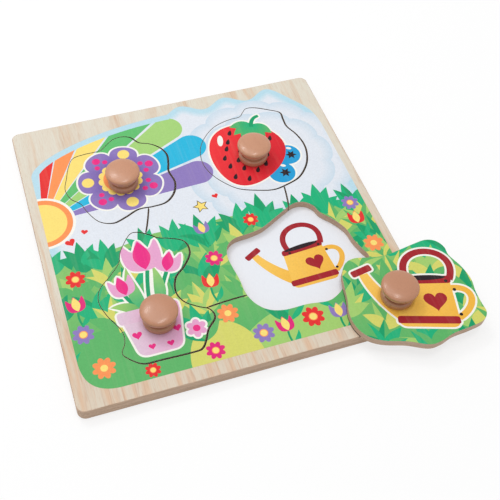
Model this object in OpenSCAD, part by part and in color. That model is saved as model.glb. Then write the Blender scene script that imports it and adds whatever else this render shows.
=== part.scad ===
// Peg puzzle: a square wooden board with four sawn-out pieces, each lifted by a turned knob.
// Origin: centre of the board's underside. +Z up, +Y towards the board's far edge.

/* [Board] */
// Side of the square board
board_side = 300; // [285:1:340]
// Radius of the board's corners
board_corner_r = 7; // [4:0.5:14]
// Thickness of the sawn upper layer, which is also the thickness of the pieces
frame_t = 7; // [5.5:0.1:9]
// Thickness of the closed backing layer
backing_t = 4.7; // [3:0.1:8]
// Radius of the sanded outer edges
edge_r = 0.9; // [0.3:0.1:1.4]

/* [Picture sheet] */
// Thickness of the paper sheet glued between the layers
sheet_t = 0.3; // [0.1:0.05:0.6]
// Distance from the board's edge to the sheet's edge
sheet_margin = 4; // [2:0.5:8]

/* [Saw] */
// Width of the saw's cut, and so of the gap round a seated piece
saw_cut = 0.8; // [0.5:0.1:1.4]
// Distance by which the seated pieces have slid left in their openings, as a share of the saw's cut
settle_left = 0.4; // [0:0.05:0.6]
// Distance by which they have slid away from the front, as a share of the saw's cut
settle_back = 0.15; // [0:0.05:0.5]

/* [Flower piece] */
// Middle of the flower piece, across the board
flower_x = -64; // [-68:0.5:-61]
// Middle of the flower piece, up the board
flower_y = 69; // [66:0.5:72]
// Width of the flower piece's saw line
flower_w = 100.4; // [92:0.2:104]
// Height of the flower piece's saw line
flower_h = 100; // [92:0.2:104]

/* [Strawberry piece] */
// Middle of the strawberry piece, across the board
berry_x = 65.4; // [62:0.2:68]
// Middle of the strawberry piece, up the board
berry_y = 68.8; // [66:0.2:72]
// Width of the strawberry piece's saw line
berry_w = 100.4; // [92:0.2:104]
// Height of the strawberry piece's saw line
berry_h = 106.4; // [98:0.2:110]

/* [Flowerpot piece] */
// Middle of the flowerpot piece, across the board
pot_x = -68.4; // [-71:0.2:-65]
// Middle of the flowerpot piece, up the board
pot_y = -60.6; // [-63:0.2:-58]
// Width of the flowerpot piece's saw line
pot_w = 87.8; // [80:0.2:94]
// Height of the flowerpot piece's saw line
pot_h = 128.4; // [118:0.2:132]

/* [Watering can piece] */
// Middle of the watering can's opening, across the board
can_x = 62.4; // [60:0.2:66]
// Middle of the watering can's opening, up the board
can_y = -57.4; // [-60:0.2:-54]
// Width of the watering can piece's saw line
can_w = 116.8; // [108:0.2:120]
// Height of the watering can piece's saw line
can_h = 105.4; // [98:0.2:110]
// Distance from the board's right edge to the knob of the piece that lies loose on the board
loose_in_x = 27.2; // [24:0.1:30]
// Distance from the board's front edge to the knob of the loose piece
loose_in_y = 23.2; // [20:0.1:28]
// Turn of the loose piece from its seated attitude, in degrees
loose_turn = -18.8; // [-26:0.2:-12]

/* [Knob] */
// Diameter of the knob's cap
knob_d = 31.1; // [29:0.1:36]
// Full height of the knob
knob_h = 19; // [17.5:0.1:23]
// Diameter of the knob's foot
foot_d = 27.5; // [25:0.1:29]
// Height of the knob's foot
foot_h = 6.2; // [5:0.1:7.5]
// Diameter at the bottom of the groove between foot and cap
neck_d = 20.6; // [17:0.2:22]
// Height of the groove
neck_h = 5; // [3.5:0.1:5.5]

/* [Screw] */
// Diameter of the wood screw's shank
screw_d = 3.5; // [3:0.1:4.5]
// Length of the screw, with its head
screw_l = 17; // [14:0.5:19]
// Diameter of the countersunk head
head_d = 7; // [6:0.1:8]
// Height of the head
head_h = 2.4; // [2:0.1:3]
// Depth of the head below the piece's underside
head_sink = 0.3; // [0:0.1:0.6]
// Radial clearance of the screw in its hole
screw_clear = 0.05; // [0.02:0.01:0.1]

/* [Hidden] */

// Depth by which a cut runs past the face it leaves
over = 1;
// Steps of the curve between two points of a saw line
curve_steps = 6;
// Steps round a quarter of a sanded edge
edge_steps = 4;
// Steps round a quarter of a turned bead
bead_steps = 9;
// Sides of the true round shapes
round_fn = 96;

// Level of the floor of the openings, and of the board's top
floor_z = backing_t + sheet_t;
top_z = floor_z + frame_t;

wood = "burlywood";
turned_wood = "rosybrown";
sawn_wood = "tan";

// Saw lines, clockwise, as shares of the half width and half height of each line
flower_shares = [
    [-1.00, 0.00], [-0.92, 0.26], [-0.84, 0.50], [-0.72, 0.70], [-0.50, 0.75], [-0.20, 0.76],
    [-0.06, 0.85], [0.10, 0.97], [0.28, 1.00], [0.45, 0.93], [0.57, 0.76], [0.76, 0.67],
    [0.92, 0.52], [1.00, 0.32], [0.97, 0.10], [0.92, -0.10], [0.96, -0.38], [0.87, -0.63],
    [0.68, -0.80], [0.42, -0.83], [0.16, -0.82], [-0.10, -0.93], [-0.34, -1.00], [-0.58, -0.89],
    [-0.73, -0.62], [-0.80, -0.41], [-0.95, -0.24]];
berry_shares = [
    [0.14, 0.92], [0.24, 1.00], [0.41, 0.98], [0.67, 0.85], [0.85, 0.73], [0.85, 0.56],
    [0.85, 0.36], [0.95, 0.13], [1.00, -0.12], [0.97, -0.36], [0.85, -0.62], [0.62, -0.85],
    [0.35, -0.95], [0.06, -1.00], [-0.25, -0.93], [-0.57, -0.80], [-0.82, -0.54], [-0.96, -0.28],
    [-1.00, -0.02], [-0.93, 0.28], [-0.75, 0.53], [-0.50, 0.72], [-0.20, 0.81], [0.04, 0.83]];
pot_shares = [
    [-0.08, 0.98], [0.10, 1.00], [0.32, 0.91], [0.46, 0.83], [0.70, 0.77], [0.94, 0.67],
    [0.97, 0.47], [0.78, 0.28], [0.54, 0.13], [0.45, -0.08], [0.53, -0.25], [0.74, -0.37],
    [0.95, -0.46], [0.99, -0.60], [0.80, -0.74], [0.70, -0.87], [0.58, -0.98], [0.40, -1.00],
    [-0.20, -0.99], [-0.52, -0.98], [-0.74, -0.87], [-0.84, -0.76], [-0.74, -0.62], [-0.74, -0.44],
    [-0.92, -0.18], [-1.00, 0.05], [-0.91, 0.24], [-0.66, 0.40], [-0.43, 0.57], [-0.33, 0.75]];
can_shares = [
    [-1.00, 0.26], [-0.94, 0.46], [-0.80, 0.57], [-0.56, 0.60], [-0.34, 0.65], [-0.12, 0.77],
    [0.10, 0.90], [0.28, 0.99], [0.44, 0.98], [0.56, 0.86], [0.61, 0.69], [0.76, 0.48],
    [0.87, 0.24], [0.90, 0.00], [0.95, -0.20], [1.00, -0.38], [0.93, -0.54], [0.72, -0.67],
    [0.48, -0.79], [0.30, -0.93], [0.12, -1.00], [-0.18, -0.96], [-0.50, -0.96], [-0.72, -0.89],
    [-0.87, -0.73], [-0.95, -0.50], [-0.96, -0.22], [-0.99, 0.04]];

// Place of each knob, as shares of its piece's half width and half height from the middle
flower_knob_share = [0.05, -0.14];
berry_knob_share = [-0.04, -0.17];
pot_knob_share = [-0.015, -0.435];
can_knob_share = [-0.25, -0.15];

// Where the linking saw cuts meet the saw lines, as shares of the way round each line
flower_to_pot_share = 0.72;
pot_from_flower_share = 0.06;
pot_to_can_share = 0.39;
can_from_pot_share = 0.89;
berry_to_can_share = 0.52;
can_from_berry_share = 0.235;
// Bow of a linking cut, as a share of its length
link_bow_share = 0.03;

// Rounding of the foot's lower and upper edge, as shares of its height
foot_low_share = 0.24;
foot_high_share = 0.42;
// Radius at which the cap's underside starts to curve, as a share of the foot's radius
cap_under_share = 0.86;
// Squareness of the turned curves: 2 is a true round, and more is fuller
round_power = 2;
bead_power = 2.5;
cove_power = 2.3;
cap_power = 2.5;

// Parts of the screw: rim and cross recess as shares of the head, point as a share of the shank
rim_share = 0.15;
recess_w_share = 0.16;
recess_l_share = 0.6;
recess_depth_share = 0.5;
point_share = 1.6;

// One step of a smooth curve through p1 and p2, with p0 before and p3 after them
function curve_point(p0, p1, p2, p3, t) =
    (2 * p1 + (p2 - p0) * t + (2 * p0 - 5 * p1 + 4 * p2 - p3) * t * t
     + (3 * p1 - p0 - 3 * p2 + p3) * t * t * t) / 2;

// Closed smooth line through the shares, at its real place and size
function saw_line(at, size, shares) =
    let (n = len(shares), p = [for (s = shares) [at.x + s.x * size.x / 2, at.y + s.y * size.y / 2]])
    [for (i = [0 : n - 1], k = [0 : curve_steps - 1])
        curve_point(p[(i + n - 1) % n], p[i], p[(i + 1) % n], p[(i + 2) % n], k / curve_steps)];

// The same line moved outwards by a distance, or inwards where it is negative
function moved_line(line, distance) =
    let (n = len(line))
    [for (i = [0 : n - 1])
        let (along = line[(i + 1) % n] - line[(i + n - 1) % n])
        line[i] + distance * [-along.y, along.x] / norm(along)];

flower_line = saw_line([flower_x, flower_y], [flower_w, flower_h], flower_shares);
berry_line = saw_line([berry_x, berry_y], [berry_w, berry_h], berry_shares);
pot_line = saw_line([pot_x, pot_y], [pot_w, pot_h], pot_shares);
can_line = saw_line([can_x, can_y], [can_w, can_h], can_shares);

function knob_place(at, size, share) = [at.x + share.x * size.x / 2, at.y + share.y * size.y / 2];
flower_knob_at = knob_place([flower_x, flower_y], [flower_w, flower_h], flower_knob_share);
berry_knob_at = knob_place([berry_x, berry_y], [berry_w, berry_h], berry_knob_share);
pot_knob_at = knob_place([pot_x, pot_y], [pot_w, pot_h], pot_knob_share);
can_knob_at = knob_place([can_x, can_y], [can_w, can_h], can_knob_share);

// Carries a seated piece to the place where it lies loose, on top of the board
module lay_loose() {
    translate([board_side / 2 - loose_in_x, loose_in_y - board_side / 2, top_z])
        rotate(loose_turn)
            translate([-can_knob_at.x, -can_knob_at.y, 0])
                children();
}

// Carries a piece from z = 0 to the floor of its opening, where it has slid a little to the left and back
module seat() {
    translate([-settle_left * saw_cut, settle_back * saw_cut, floor_z]) children();
}

// Quarter round of radius r about a centre, from one angle to the next
function quarter(centre, r, from) =
    [for (k = [0 : edge_steps]) let (a = from + 90 * k / edge_steps) centre + r * [cos(a), sin(a)]];

// Half section of a plate that reaches out to x, with its upper or lower edge sanded round
function half_section(x, t, top_r, bottom_r) = concat(
    [[0, 0]],
    bottom_r > 0 ? quarter([x - bottom_r, bottom_r], bottom_r, -90) : [[x, 0]],
    top_r > 0 ? quarter([x - top_r, t - top_r], top_r, 0) : [[x, t]],
    [[0, t]]);

// Square plate with round corners and sanded edges: two crossed bars and four corner discs
module sanded_plate(side, t, corner_r, top_r, bottom_r) {
    half = half_section(side / 2, t, top_r, bottom_r);
    for (turn = [0, 90], flip = [0, 1])
        rotate(turn) mirror([flip, 0, 0]) rotate([90, 0, 0])
            linear_extrude(side - 2 * corner_r, center = true) polygon(half);
    for (sx = [-1, 1], sy = [-1, 1])
        translate([sx * (side / 2 - corner_r), sy * (side / 2 - corner_r), 0])
            rotate_extrude($fn = round_fn) polygon(half_section(corner_r, t, top_r, bottom_r));
}

// Saw cut between two points: a slightly bowed band of the saw's width, run on past both ends
module linking_cut(from, to, bow_share) {
    along = (to - from) / norm(to - from);
    side = [-along.y, along.x];
    start = from - along * saw_cut;
    end = to + along * saw_cut;
    bend = (start + end) / 2 + side * norm(end - start) * bow_share;
    steps = 2 * curve_steps;
    middle = [for (k = [0 : steps]) let (t = k / steps)
        start * (1 - t) * (1 - t) + bend * 2 * t * (1 - t) + end * t * t];
    translate([0, 0, -over]) linear_extrude(frame_t + 2 * over)
        polygon(concat([for (p = middle) p + side * saw_cut / 2],
                       [for (k = [steps : -1 : 0]) middle[k] - side * saw_cut / 2]));
}

// The point at a share of the way round a line
function line_point(line, share) = line[floor(share * len(line))];

// Opening that the saw leaves round a piece, through the upper layer
module opening(line) {
    translate([0, 0, -over]) linear_extrude(frame_t + 2 * over) polygon(moved_line(line, saw_cut / 2));
}

// Hole from beneath for the countersunk screw, through a piece of the frame's thickness
module screw_hole() {
    head_r = head_d / 2 + screw_clear;
    shank_r = screw_d / 2 + screw_clear;
    rim = head_sink + head_h * rim_share;
    rotate_extrude($fn = round_fn)
        polygon([[0, -over], [head_r, -over], [head_r, rim], [shank_r, head_sink + head_h],
                 [shank_r, frame_t + over], [0, frame_t + over]]);
}

// Sawn piece: the area inside its saw line, less the other half of the cut, with its screw hole
module sawn_piece(line, knob_at) {
    difference() {
        linear_extrude(frame_t) polygon(moved_line(line, -saw_cut / 2));
        translate([knob_at.x, knob_at.y, 0]) screw_hole();
    }
}

// Turned profile: a share of the way round a squared-off quarter, out and up
function turned(r_in, r_out, z_side, z_end, power) =
    [for (k = [0 : bead_steps]) let (a = 90 * k / bead_steps)
        [r_in + (r_out - r_in) * pow(cos(a), 2 / power), z_side + (z_end - z_side) * pow(sin(a), 2 / power)]];

function reversed(list) = [for (k = [len(list) - 1 : -1 : 0]) list[k]];

// Hollow quarter of a groove: in from an edge, then up or down to the groove's middle
function cove(r_edge, r_in, z_edge, z_middle) =
    [for (k = [0 : bead_steps]) let (a = 90 * k / bead_steps)
        [r_edge - (r_edge - r_in) * pow(sin(a), 2 / cove_power),
         z_middle - (z_middle - z_edge) * pow(cos(a), 2 / cove_power)]];

// Turned knob standing on z = 0: a round-edged foot, a hollow groove, and a pillowed cap, bored for the screw
module knob() {
    foot_r = foot_d / 2;
    low_roll = foot_h * foot_low_share;
    high_roll = foot_h * foot_high_share;
    cap_z = foot_h + neck_h;
    cap_side_z = (cap_z + knob_h) / 2;
    cap_under_r = foot_r * cap_under_share;
    bore_top = screw_l + head_sink - frame_t + screw_clear;
    foot = concat(reversed(turned(foot_r - low_roll, foot_r, low_roll, 0, round_power)),
                  turned(foot_r - high_roll, foot_r, foot_h - high_roll, foot_h, round_power));
    groove = concat(cove(foot_r - high_roll, neck_d / 2, foot_h, foot_h + neck_h / 2),
                    reversed(cove(cap_under_r, neck_d / 2, cap_z, foot_h + neck_h / 2)));
    cap = concat(reversed(turned(cap_under_r, knob_d / 2, cap_side_z, cap_z, bead_power)),
                 turned(0, knob_d / 2, cap_side_z, knob_h, cap_power));
    difference() {
        rotate_extrude($fn = round_fn)
            polygon(concat([[0, 0]], foot, groove, cap));
        translate([0, 0, -over])
            cylinder(r = screw_d / 2 + screw_clear, h = bore_top + over, $fn = round_fn);
    }
}

// Countersunk wood screw, head down, with a cross recess
module screw() {
    head_r = head_d / 2;
    shank_r = screw_d / 2;
    point_h = screw_d * point_share;
    recess = [head_d * recess_l_share, head_d * recess_w_share, 2 * head_h * recess_depth_share];
    difference() {
        rotate_extrude($fn = round_fn)
            polygon([[0, 0], [head_r, 0], [head_r, head_h * rim_share], [shank_r, head_h],
                     [shank_r, screw_l - point_h], [0, screw_l]]);
        for (turn = [0, 90]) rotate(turn) cube(recess, center = true);
    }
}

module place_knob(at) {
    translate([at.x, at.y, frame_t]) knob();
}

module place_screw(at) {
    translate([at.x, at.y, head_sink]) screw();
}

module backing_board() {
    color(wood) sanded_plate(board_side, backing_t, board_corner_r, 0, edge_r);
}

module picture_sheet() {
    color("whitesmoke") translate([0, 0, backing_t])
        sanded_plate(board_side - 2 * sheet_margin, sheet_t, board_corner_r, 0, 0);
}

module frame_board() {
    color(wood) translate([0, 0, floor_z]) difference() {
        sanded_plate(board_side, frame_t, board_corner_r, edge_r, 0);
        for (line = [flower_line, berry_line, pot_line, can_line]) opening(line);
        linking_cut(line_point(flower_line, flower_to_pot_share),
                    line_point(pot_line, pot_from_flower_share), link_bow_share);
        linking_cut(line_point(pot_line, pot_to_can_share),
                    line_point(can_line, can_from_pot_share), link_bow_share);
        linking_cut(line_point(berry_line, berry_to_can_share),
                    line_point(can_line, can_from_berry_share), link_bow_share);
    }
}

module flower_piece() {
    color(sawn_wood) seat() sawn_piece(flower_line, flower_knob_at);
}

module strawberry_piece() {
    color(sawn_wood) seat() sawn_piece(berry_line, berry_knob_at);
}

module flowerpot_piece() {
    color(sawn_wood) seat() sawn_piece(pot_line, pot_knob_at);
}

module watering_can_piece() {
    color(sawn_wood) lay_loose() sawn_piece(can_line, can_knob_at);
}

module flower_knob() {
    color(turned_wood) seat() place_knob(flower_knob_at);
}

module strawberry_knob() {
    color(turned_wood) seat() place_knob(berry_knob_at);
}

module flowerpot_knob() {
    color(turned_wood) seat() place_knob(pot_knob_at);
}

module watering_can_knob() {
    color(turned_wood) lay_loose() place_knob(can_knob_at);
}

module flower_screw() {
    color("silver") seat() place_screw(flower_knob_at);
}

module strawberry_screw() {
    color("silver") seat() place_screw(berry_knob_at);
}

module flowerpot_screw() {
    color("silver") seat() place_screw(pot_knob_at);
}

module watering_can_screw() {
    color("silver") lay_loose() place_screw(can_knob_at);
}

backing_board();
picture_sheet();
frame_board();
flower_piece();
strawberry_piece();
flowerpot_piece();
watering_can_piece();
flower_knob();
strawberry_knob();
flowerpot_knob();
watering_can_knob();
flower_screw();
strawberry_screw();
flowerpot_screw();
watering_can_screw();
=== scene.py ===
"""Looks of a wooden peg puzzle round its fixed frame: printed faces, woods, knobs, screws and the stage."""

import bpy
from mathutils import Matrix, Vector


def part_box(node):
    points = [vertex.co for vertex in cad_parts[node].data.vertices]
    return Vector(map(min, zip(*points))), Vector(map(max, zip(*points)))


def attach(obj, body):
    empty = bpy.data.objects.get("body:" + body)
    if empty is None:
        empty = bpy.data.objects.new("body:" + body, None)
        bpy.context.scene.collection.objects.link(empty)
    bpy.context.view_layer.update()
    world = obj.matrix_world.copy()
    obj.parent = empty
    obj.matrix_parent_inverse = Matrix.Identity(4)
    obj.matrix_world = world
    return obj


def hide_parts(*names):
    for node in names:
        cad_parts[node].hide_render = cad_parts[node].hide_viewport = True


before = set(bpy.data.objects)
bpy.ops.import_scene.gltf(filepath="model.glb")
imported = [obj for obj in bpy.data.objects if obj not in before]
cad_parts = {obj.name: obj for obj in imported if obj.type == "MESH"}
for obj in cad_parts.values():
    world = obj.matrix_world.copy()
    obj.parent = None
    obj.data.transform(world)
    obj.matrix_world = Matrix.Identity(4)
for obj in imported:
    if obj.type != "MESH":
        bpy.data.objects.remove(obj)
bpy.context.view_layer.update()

import math

import bpy
import numpy as np
from bpy.props import FloatProperty, FloatVectorProperty, IntProperty, PointerProperty
from bpy.types import NodeSocket, Operator, Panel, PropertyGroup
from mathutils import Matrix, Vector
from mathutils.geometry import delaunay_2d_cdt

bl_info = {
    "name": "Peg puzzle finish",
    "version": (1, 0, 0),
    "blender": (4, 5, 0),
    "location": "3D View > Sidebar > Puzzle",
    "description": "Prints and finishes a wooden peg puzzle and sets up its stage",
    "category": "Object",
}

MM = 0.001
PIECES = ("flower", "strawberry", "flowerpot", "watering_can")
LOOSE = "watering_can"
BOARD_LOW, BOARD_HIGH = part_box("frame_board")
TOP = BOARD_HIGH.z
PAPER_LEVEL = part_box("picture_sheet")[1].z
KNOB_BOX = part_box("flower_knob")[1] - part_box("flower_knob")[0]
# Points on the arch of the print's edge, the last that printed_area gives
ARCH_POINTS = 41
# A piece's outline grown by this, in millimetres, takes in the whole of its saw cut
CUT_CLEARANCE = 1.25
# Reach in millimetres within which a saw cut's walls, and the paper at its bottom, look for open air
WALL_REACH, PAPER_REACH = 1.6, 8
# Points of an outline that lie closer together than this, in millimetres, become one
SAME_POINT = 1e-5
# Keeps a division by a length of nought from failing
TINY = 1e-9
# Left and right edge and foot of the board's print, in millimetres
PRINT_LEFT, PRINT_RIGHT, PRINT_FOOT = -141.0, 142.0, -137.5
# Half the side of the stage's floor, in metres
FLOOR_HALF = 4.0
# Place and size of the soft lights, in metres. Each of them faces the middle of the floor
LIGHTS = {"key": ((-0.35, 0.45, 1.25), (1.1, 1.1)),
          "gleam_above": ((0.16, -0.15, 3.0), (1.3, 0.26)),
          "gleam_behind": ((-0.57, 1.56, 2.5), (0.85, 0.3))}
# Width of the camera's sensor, in millimetres
SENSOR = 36


def linear(red, green, blue):
    """Scene colour of a written one: each part of 0 to 255 goes through the usual screen curve."""
    shares = np.array([red, green, blue]) / 255
    return tuple(np.where(shares <= 0.04045, shares / 12.92, ((shares + 0.055) / 1.055) ** 2.4).tolist())


def ink(name, *written):
    """A colour property with its default written in 0 to 255."""
    return FloatVectorProperty(name=name, description=f"Colour of the {name.lower()}", subtype="COLOR",
                               size=3, min=0, max=1, default=linear(*written))


def number(name, description, default, **more):
    """A plain number property."""
    return FloatProperty(name=name, description=description, default=default, **more)


def length(name, description, millimetres):
    """A length property, kept in metres and given in millimetres."""
    return number(name, description, millimetres * MM, unit="LENGTH", precision=5)


def bearing(name, description, degrees):
    """An angle property, kept in radians and given in degrees."""
    return number(name, description, math.radians(degrees), subtype="ANGLE")


def fraction(name, description, share, low=0, high=1):
    """A property that is a share of something."""
    return number(name, description, share, subtype="FACTOR", min=low, max=high)


def brightness(name, description, watts):
    """A light's power property, in watts."""
    return number(name, description, watts, unit="POWER")


def lengths(name, description, *millimetres):
    """A property of lengths along the axes, kept in metres and given in millimetres."""
    return FloatVectorProperty(name=name, description=description, subtype="XYZ", unit="LENGTH", precision=5,
                               size=len(millimetres), default=[along * MM for along in millimetres])


class PuzzleInks(PropertyGroup):
    """Printing inks of the scene and of the four pictures."""

    sky: ink("Upper sky", 186, 221, 235)
    haze: ink("Lower sky", 227, 232, 240)
    ripple: ink("Sky ripples", 206, 222, 235)
    cream: ink("White edge round the pictures", 247, 246, 238)
    red: ink("Red ink", 230, 48, 48)
    orange: ink("Orange ink", 250, 150, 88)
    yellow: ink("Yellow ink", 251, 224, 122)
    green: ink("Green ink", 98, 190, 112)
    lime: ink("Lime ink", 166, 211, 122)
    blue: ink("Blue ink", 42, 184, 222)
    violet: ink("Violet ink", 143, 124, 189)
    magenta: ink("Magenta ink", 226, 40, 122)
    leaf_dark: ink("Dark leaves", 30, 178, 122)
    leaf_deep: ink("Deep leaves", 22, 158, 104)
    leaf_mid: ink("Middle leaves", 94, 180, 104)
    leaf_light: ink("Light leaves", 163, 206, 112)
    leaf_pale: ink("Yellow leaves", 214, 214, 108)
    petal: ink("Petals of the flower", 142, 122, 188)
    petal_deep: ink("Petals near the middle", 116, 92, 168)
    spot: ink("Spots of the flower", 236, 44, 134)
    berry: ink("Strawberry", 240, 54, 60)
    berry_deep: ink("Shaded strawberry", 214, 34, 48)
    seed: ink("Seeds", 36, 22, 30)
    # Painted shade: near-black ink that stands for the shadow in a saw gap
    gap_shade: ink("Painted shade at a saw gap", 34, 26, 22)
    blueberry: ink("Blueberries", 38, 158, 214)
    pot: ink("Flowerpot", 226, 200, 219)
    pot_deep: ink("Rim of the flowerpot", 231, 166, 206)
    tulip: ink("Tulips", 235, 46, 134)
    can: ink("Watering can", 250, 200, 92)
    can_deep: ink("Shaded watering can", 243, 184, 70)
    can_band: ink("Bands of the watering can", 163, 34, 44)
    wood: ink("Grain that shows through", 232, 214, 188)


class PuzzleWoods(PropertyGroup):
    """Woods and other finishes."""

    face: ink("Wood face", 217, 204, 185)
    face_grey: ink("Greyer wood face", 221, 215, 200)
    streak: ink("Broad grain streaks", 218, 184, 154)
    streak_deep: ink("Fine grain lines", 194, 152, 124)
    edge: ink("Sawn edge", 199, 171, 148)
    edge_dark: ink("Dark grain of a sawn edge", 172, 143, 119)
    edge_pale: ink("Pale flecks of a sawn edge", 208, 184, 161)
    # Painted shade: the near-black that fills a narrow saw cut, where no light gets in
    cut_shade: ink("Painted shade inside a saw cut", 24, 18, 16)
    knob: ink("Turned wood", 197, 142, 110)
    knob_dark: ink("Grain and painted shade of the turned wood", 180, 125, 94)
    knob_fleck: ink("Flecks of the turned wood", 158, 106, 80)
    paper: ink("Paper in the openings", 230, 233, 239)
    fibre: ink("Fibres of the paper", 221, 224, 231)
    steel: ink("Screws", 190, 190, 186)
    steel_dark: ink("Turning marks of the screws", 150, 150, 148)
    grain_width: length("Grain width", "Distance between two streaks of the grain", 6)
    grain_length: length("Grain length", "Length of a streak", 160)
    edge_softness: length("Edge softness", "Width of the rounding on the sawn edges", 0.16)
    cut_depth: length("Cut depth", "Depth to which a narrow saw cut looks black", 1.6)


class PuzzleKnob(PropertyGroup):
    """Sizes of a turned knob. The cap's diameter and the height are the frame's own."""

    cap: length("Cap", "Diameter of the cap", KNOB_BOX.x / MM)
    height: length("Height", "Height of the knob", KNOB_BOX.z / MM)
    foot: length("Foot", "Diameter of the foot", 27.5)
    foot_height: length("Foot height", "Height of the foot", 6.2)
    neck: length("Neck", "Diameter at the bottom of the groove", 20.6)
    neck_height: length("Groove", "Height of the groove", 5)
    low_roll: length("Lower edge", "Rounding of the foot's lower edge", 1.49)
    high_roll: length("Upper edge", "Rounding of the foot's upper edge", 2.6)
    under_share: fraction("Underside", "Start of the cap's curve, as a share of the foot's radius",
                          0.86, 0.8, 0.95)
    sides: IntProperty(name="Sides", description="Sides round the knob", default=96, min=24)


class PuzzlePrint(PropertyGroup):
    """Sizes of the print."""

    ink_rise: length("Ink rise", "Height of the ink's face above the wood", 0.05)
    ink_body: length("Ink body", "Thickness of the ink", 0.04)
    trim: length("Trim", "Bare rim between a sawn edge and the ink", 0.11)
    halo: length("Halo", "Width of the white edge round a picture", 1.7)
    floor_share: fraction("Floor picture", "Size of a picture in an opening, as a share", 0.84, 0.5)
    loose_turn: bearing("Loose turn", "Turn of the loose piece from its seat", -18.8)
    can_seat: lengths("Seat of the loose knob", "Its knob's place when seated", 47.8, -65.305)
    # Painted shade: a near-black rim printed on each seated piece's right and front, where its saw gap is
    # wide
    flower_burn: lengths("Rim of the flower", "Width of black on its right and its front", 0.6, 0.36)
    strawberry_burn: lengths("Rim of the strawberry", "Width of black on its right and its front", 0.42, 0.28)
    flowerpot_burn: lengths("Rim of the flowerpot", "Width of black on its right and its front", 0.25, 0.5)
    link_burn: length("Rim of the linking cuts", "Width of painted shade beside a linking cut", 0.38)
    seed: IntProperty(name="Seed", description="Seed of the leaves' places", default=7)


class PuzzleStage(PropertyGroup):
    """Camera and lights."""

    azimuth: bearing("Azimuth", "Direction of the camera's look, from +Y towards +X", 19.83)
    elevation: bearing("Elevation", "Height of the camera above the horizon", 53.71)
    roll: bearing("Roll", "Turn of the camera about its own axis", 2.65)
    place: lengths("Place", "The camera's place", -147.6, -428.0, 585.1)
    focal: number("Focal length", "In millimetres, on a sensor 36 mm wide", 59.21, unit="CAMERA")
    shift_x: number("Shift across", "The frame's shift, in widths", 0.0718)
    shift_y: number("Shift up", "The frame's shift, in widths", -0.0033)
    floor: ink("Floor", 251, 251, 251)
    white_share: fraction("White share", "Share of plain white in what the floor shows", 0.72)
    clear_from: length("Clear from", "Distance from the middle at which the floor begins to turn white", 300)
    clear_to: length("Clear to", "Distance from the middle past which the floor is white", 800)
    key: brightness("Key light", "Power of the wide light overhead", 5.6)
    gleam_above: brightness("Gleam from above", "Power of the small light high above", 19.2)
    gleam_behind: brightness("Gleam from behind", "Power of the small light at the back", 10.4)
    world: number("Sky light", "Strength of the world", 0.52)


# Outlines: closed lines of points in millimetres, worked out as whole arrays

def round_the_clock(count):
    """Angles of a full turn, without its end."""
    return np.linspace(0, 2 * np.pi, count, endpoint=False)


def turned(points, angle):
    """Points turned about the origin."""
    c, s = math.cos(angle), math.sin(angle)
    return np.asarray(points, float) @ np.array([[c, s], [-s, c]])


def polar(angle, radius=1.0):
    """Points round the origin: the cosine and the sine of each angle, times the radius."""
    return np.stack([radius * np.cos(angle), radius * np.sin(angle)], -1)


def left(way):
    """A way turned a quarter to the left."""
    return np.stack([-way[..., 1], way[..., 0]], -1)


def oval(centre, across, up, angle=0.0, count=32):
    """An ellipse: cosine times one half axis, sine times the other, turned and moved."""
    return turned(polar(round_the_clock(count)) * (across, up), angle) + centre


def smooth(points, steps=6):
    """A closed curve through the points: on each stretch the cubic that keeps its neighbours' direction."""
    p1 = np.asarray(points, float)
    p0, p2, p3 = np.roll(p1, 1, 0), np.roll(p1, -1, 0), np.roll(p1, -2, 0)
    t = (np.arange(steps) / steps)[None, :, None]
    p0, p1, p2, p3 = (p[:, None, :] for p in (p0, p1, p2, p3))
    curve = 2 * p1 + (p2 - p0) * t + (2 * p0 - 5 * p1 + 4 * p2 - p3) * t ** 2
    return ((curve + (3 * p1 - p0 - 3 * p2 + p3) * t ** 3) / 2).reshape(-1, 2)


def signed_area(line):
    """Half the sum of the cross products of neighbouring points: above zero when it runs anticlockwise."""
    after = np.roll(line, -1, 0)
    return 0.5 * float(np.sum(line[:, 0] * after[:, 1] - after[:, 0] * line[:, 1]))


def grown(line, distance):
    """A closed line moved outwards along its normals."""
    along = np.roll(line, -1, 0) - np.roll(line, 1, 0)
    along /= np.maximum(np.linalg.norm(along, axis=1, keepdims=True), TINY)
    return line - distance * math.copysign(1.0, signed_area(line)) * left(along)


def rounded(corners, steps=10):
    """A polygon with round corners: each corner's arc runs between its two tangent points.

    A corner is x, y and radius. The arc is the quadratic curve between those points, bent at the corner."""
    corner = np.asarray(corners, float)
    point, radius = corner[:, :2], corner[:, 2:]
    back, ahead = np.roll(point, 1, 0) - point, np.roll(point, -1, 0) - point
    back /= np.linalg.norm(back, axis=1, keepdims=True)
    ahead /= np.linalg.norm(ahead, axis=1, keepdims=True)
    start, end = point + back * radius, point + ahead * radius
    t = np.linspace(0, 1, steps)[None, :, None]
    arc = start[:, None] * (1 - t) ** 2 + point[:, None] * 2 * t * (1 - t) + end[:, None] * t ** 2
    return arc.reshape(-1, 2)


def normals(line):
    """Unit normals on the left of an open line."""
    way = np.gradient(line, axis=0)
    return left(way / np.linalg.norm(way, axis=1, keepdims=True))


def middle_line(base, tip, bend, count):
    """A bent line from base to tip, and its normals: the quadratic curve whose corner stands off by bend."""
    base, tip = np.asarray(base, float), np.asarray(tip, float)
    corner = (base + tip) / 2 + bend * left(tip - base)
    t = np.linspace(0, 1, count)[:, None]
    line = base * (1 - t) ** 2 + corner * 2 * t * (1 - t) + tip * t ** 2
    return line, normals(line)


def both_sides(line, reach):
    """The outline that leaves a line by reach on one side and comes back on the other, with pointed ends."""
    return np.concatenate([line + reach, (line - reach)[-2:0:-1]])


def leaf(base, tip, width, bend=0.0, belly=0.8, count=11):
    """A pointed leaf: its half width rises and falls along the middle line as a sine, skewed by belly."""
    line, normal = middle_line(base, tip, bend, count)
    t = np.linspace(0, 1, count)
    return both_sides(line, (width / 2 * np.sin(np.pi * t ** belly))[:, None] * normal)


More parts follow.
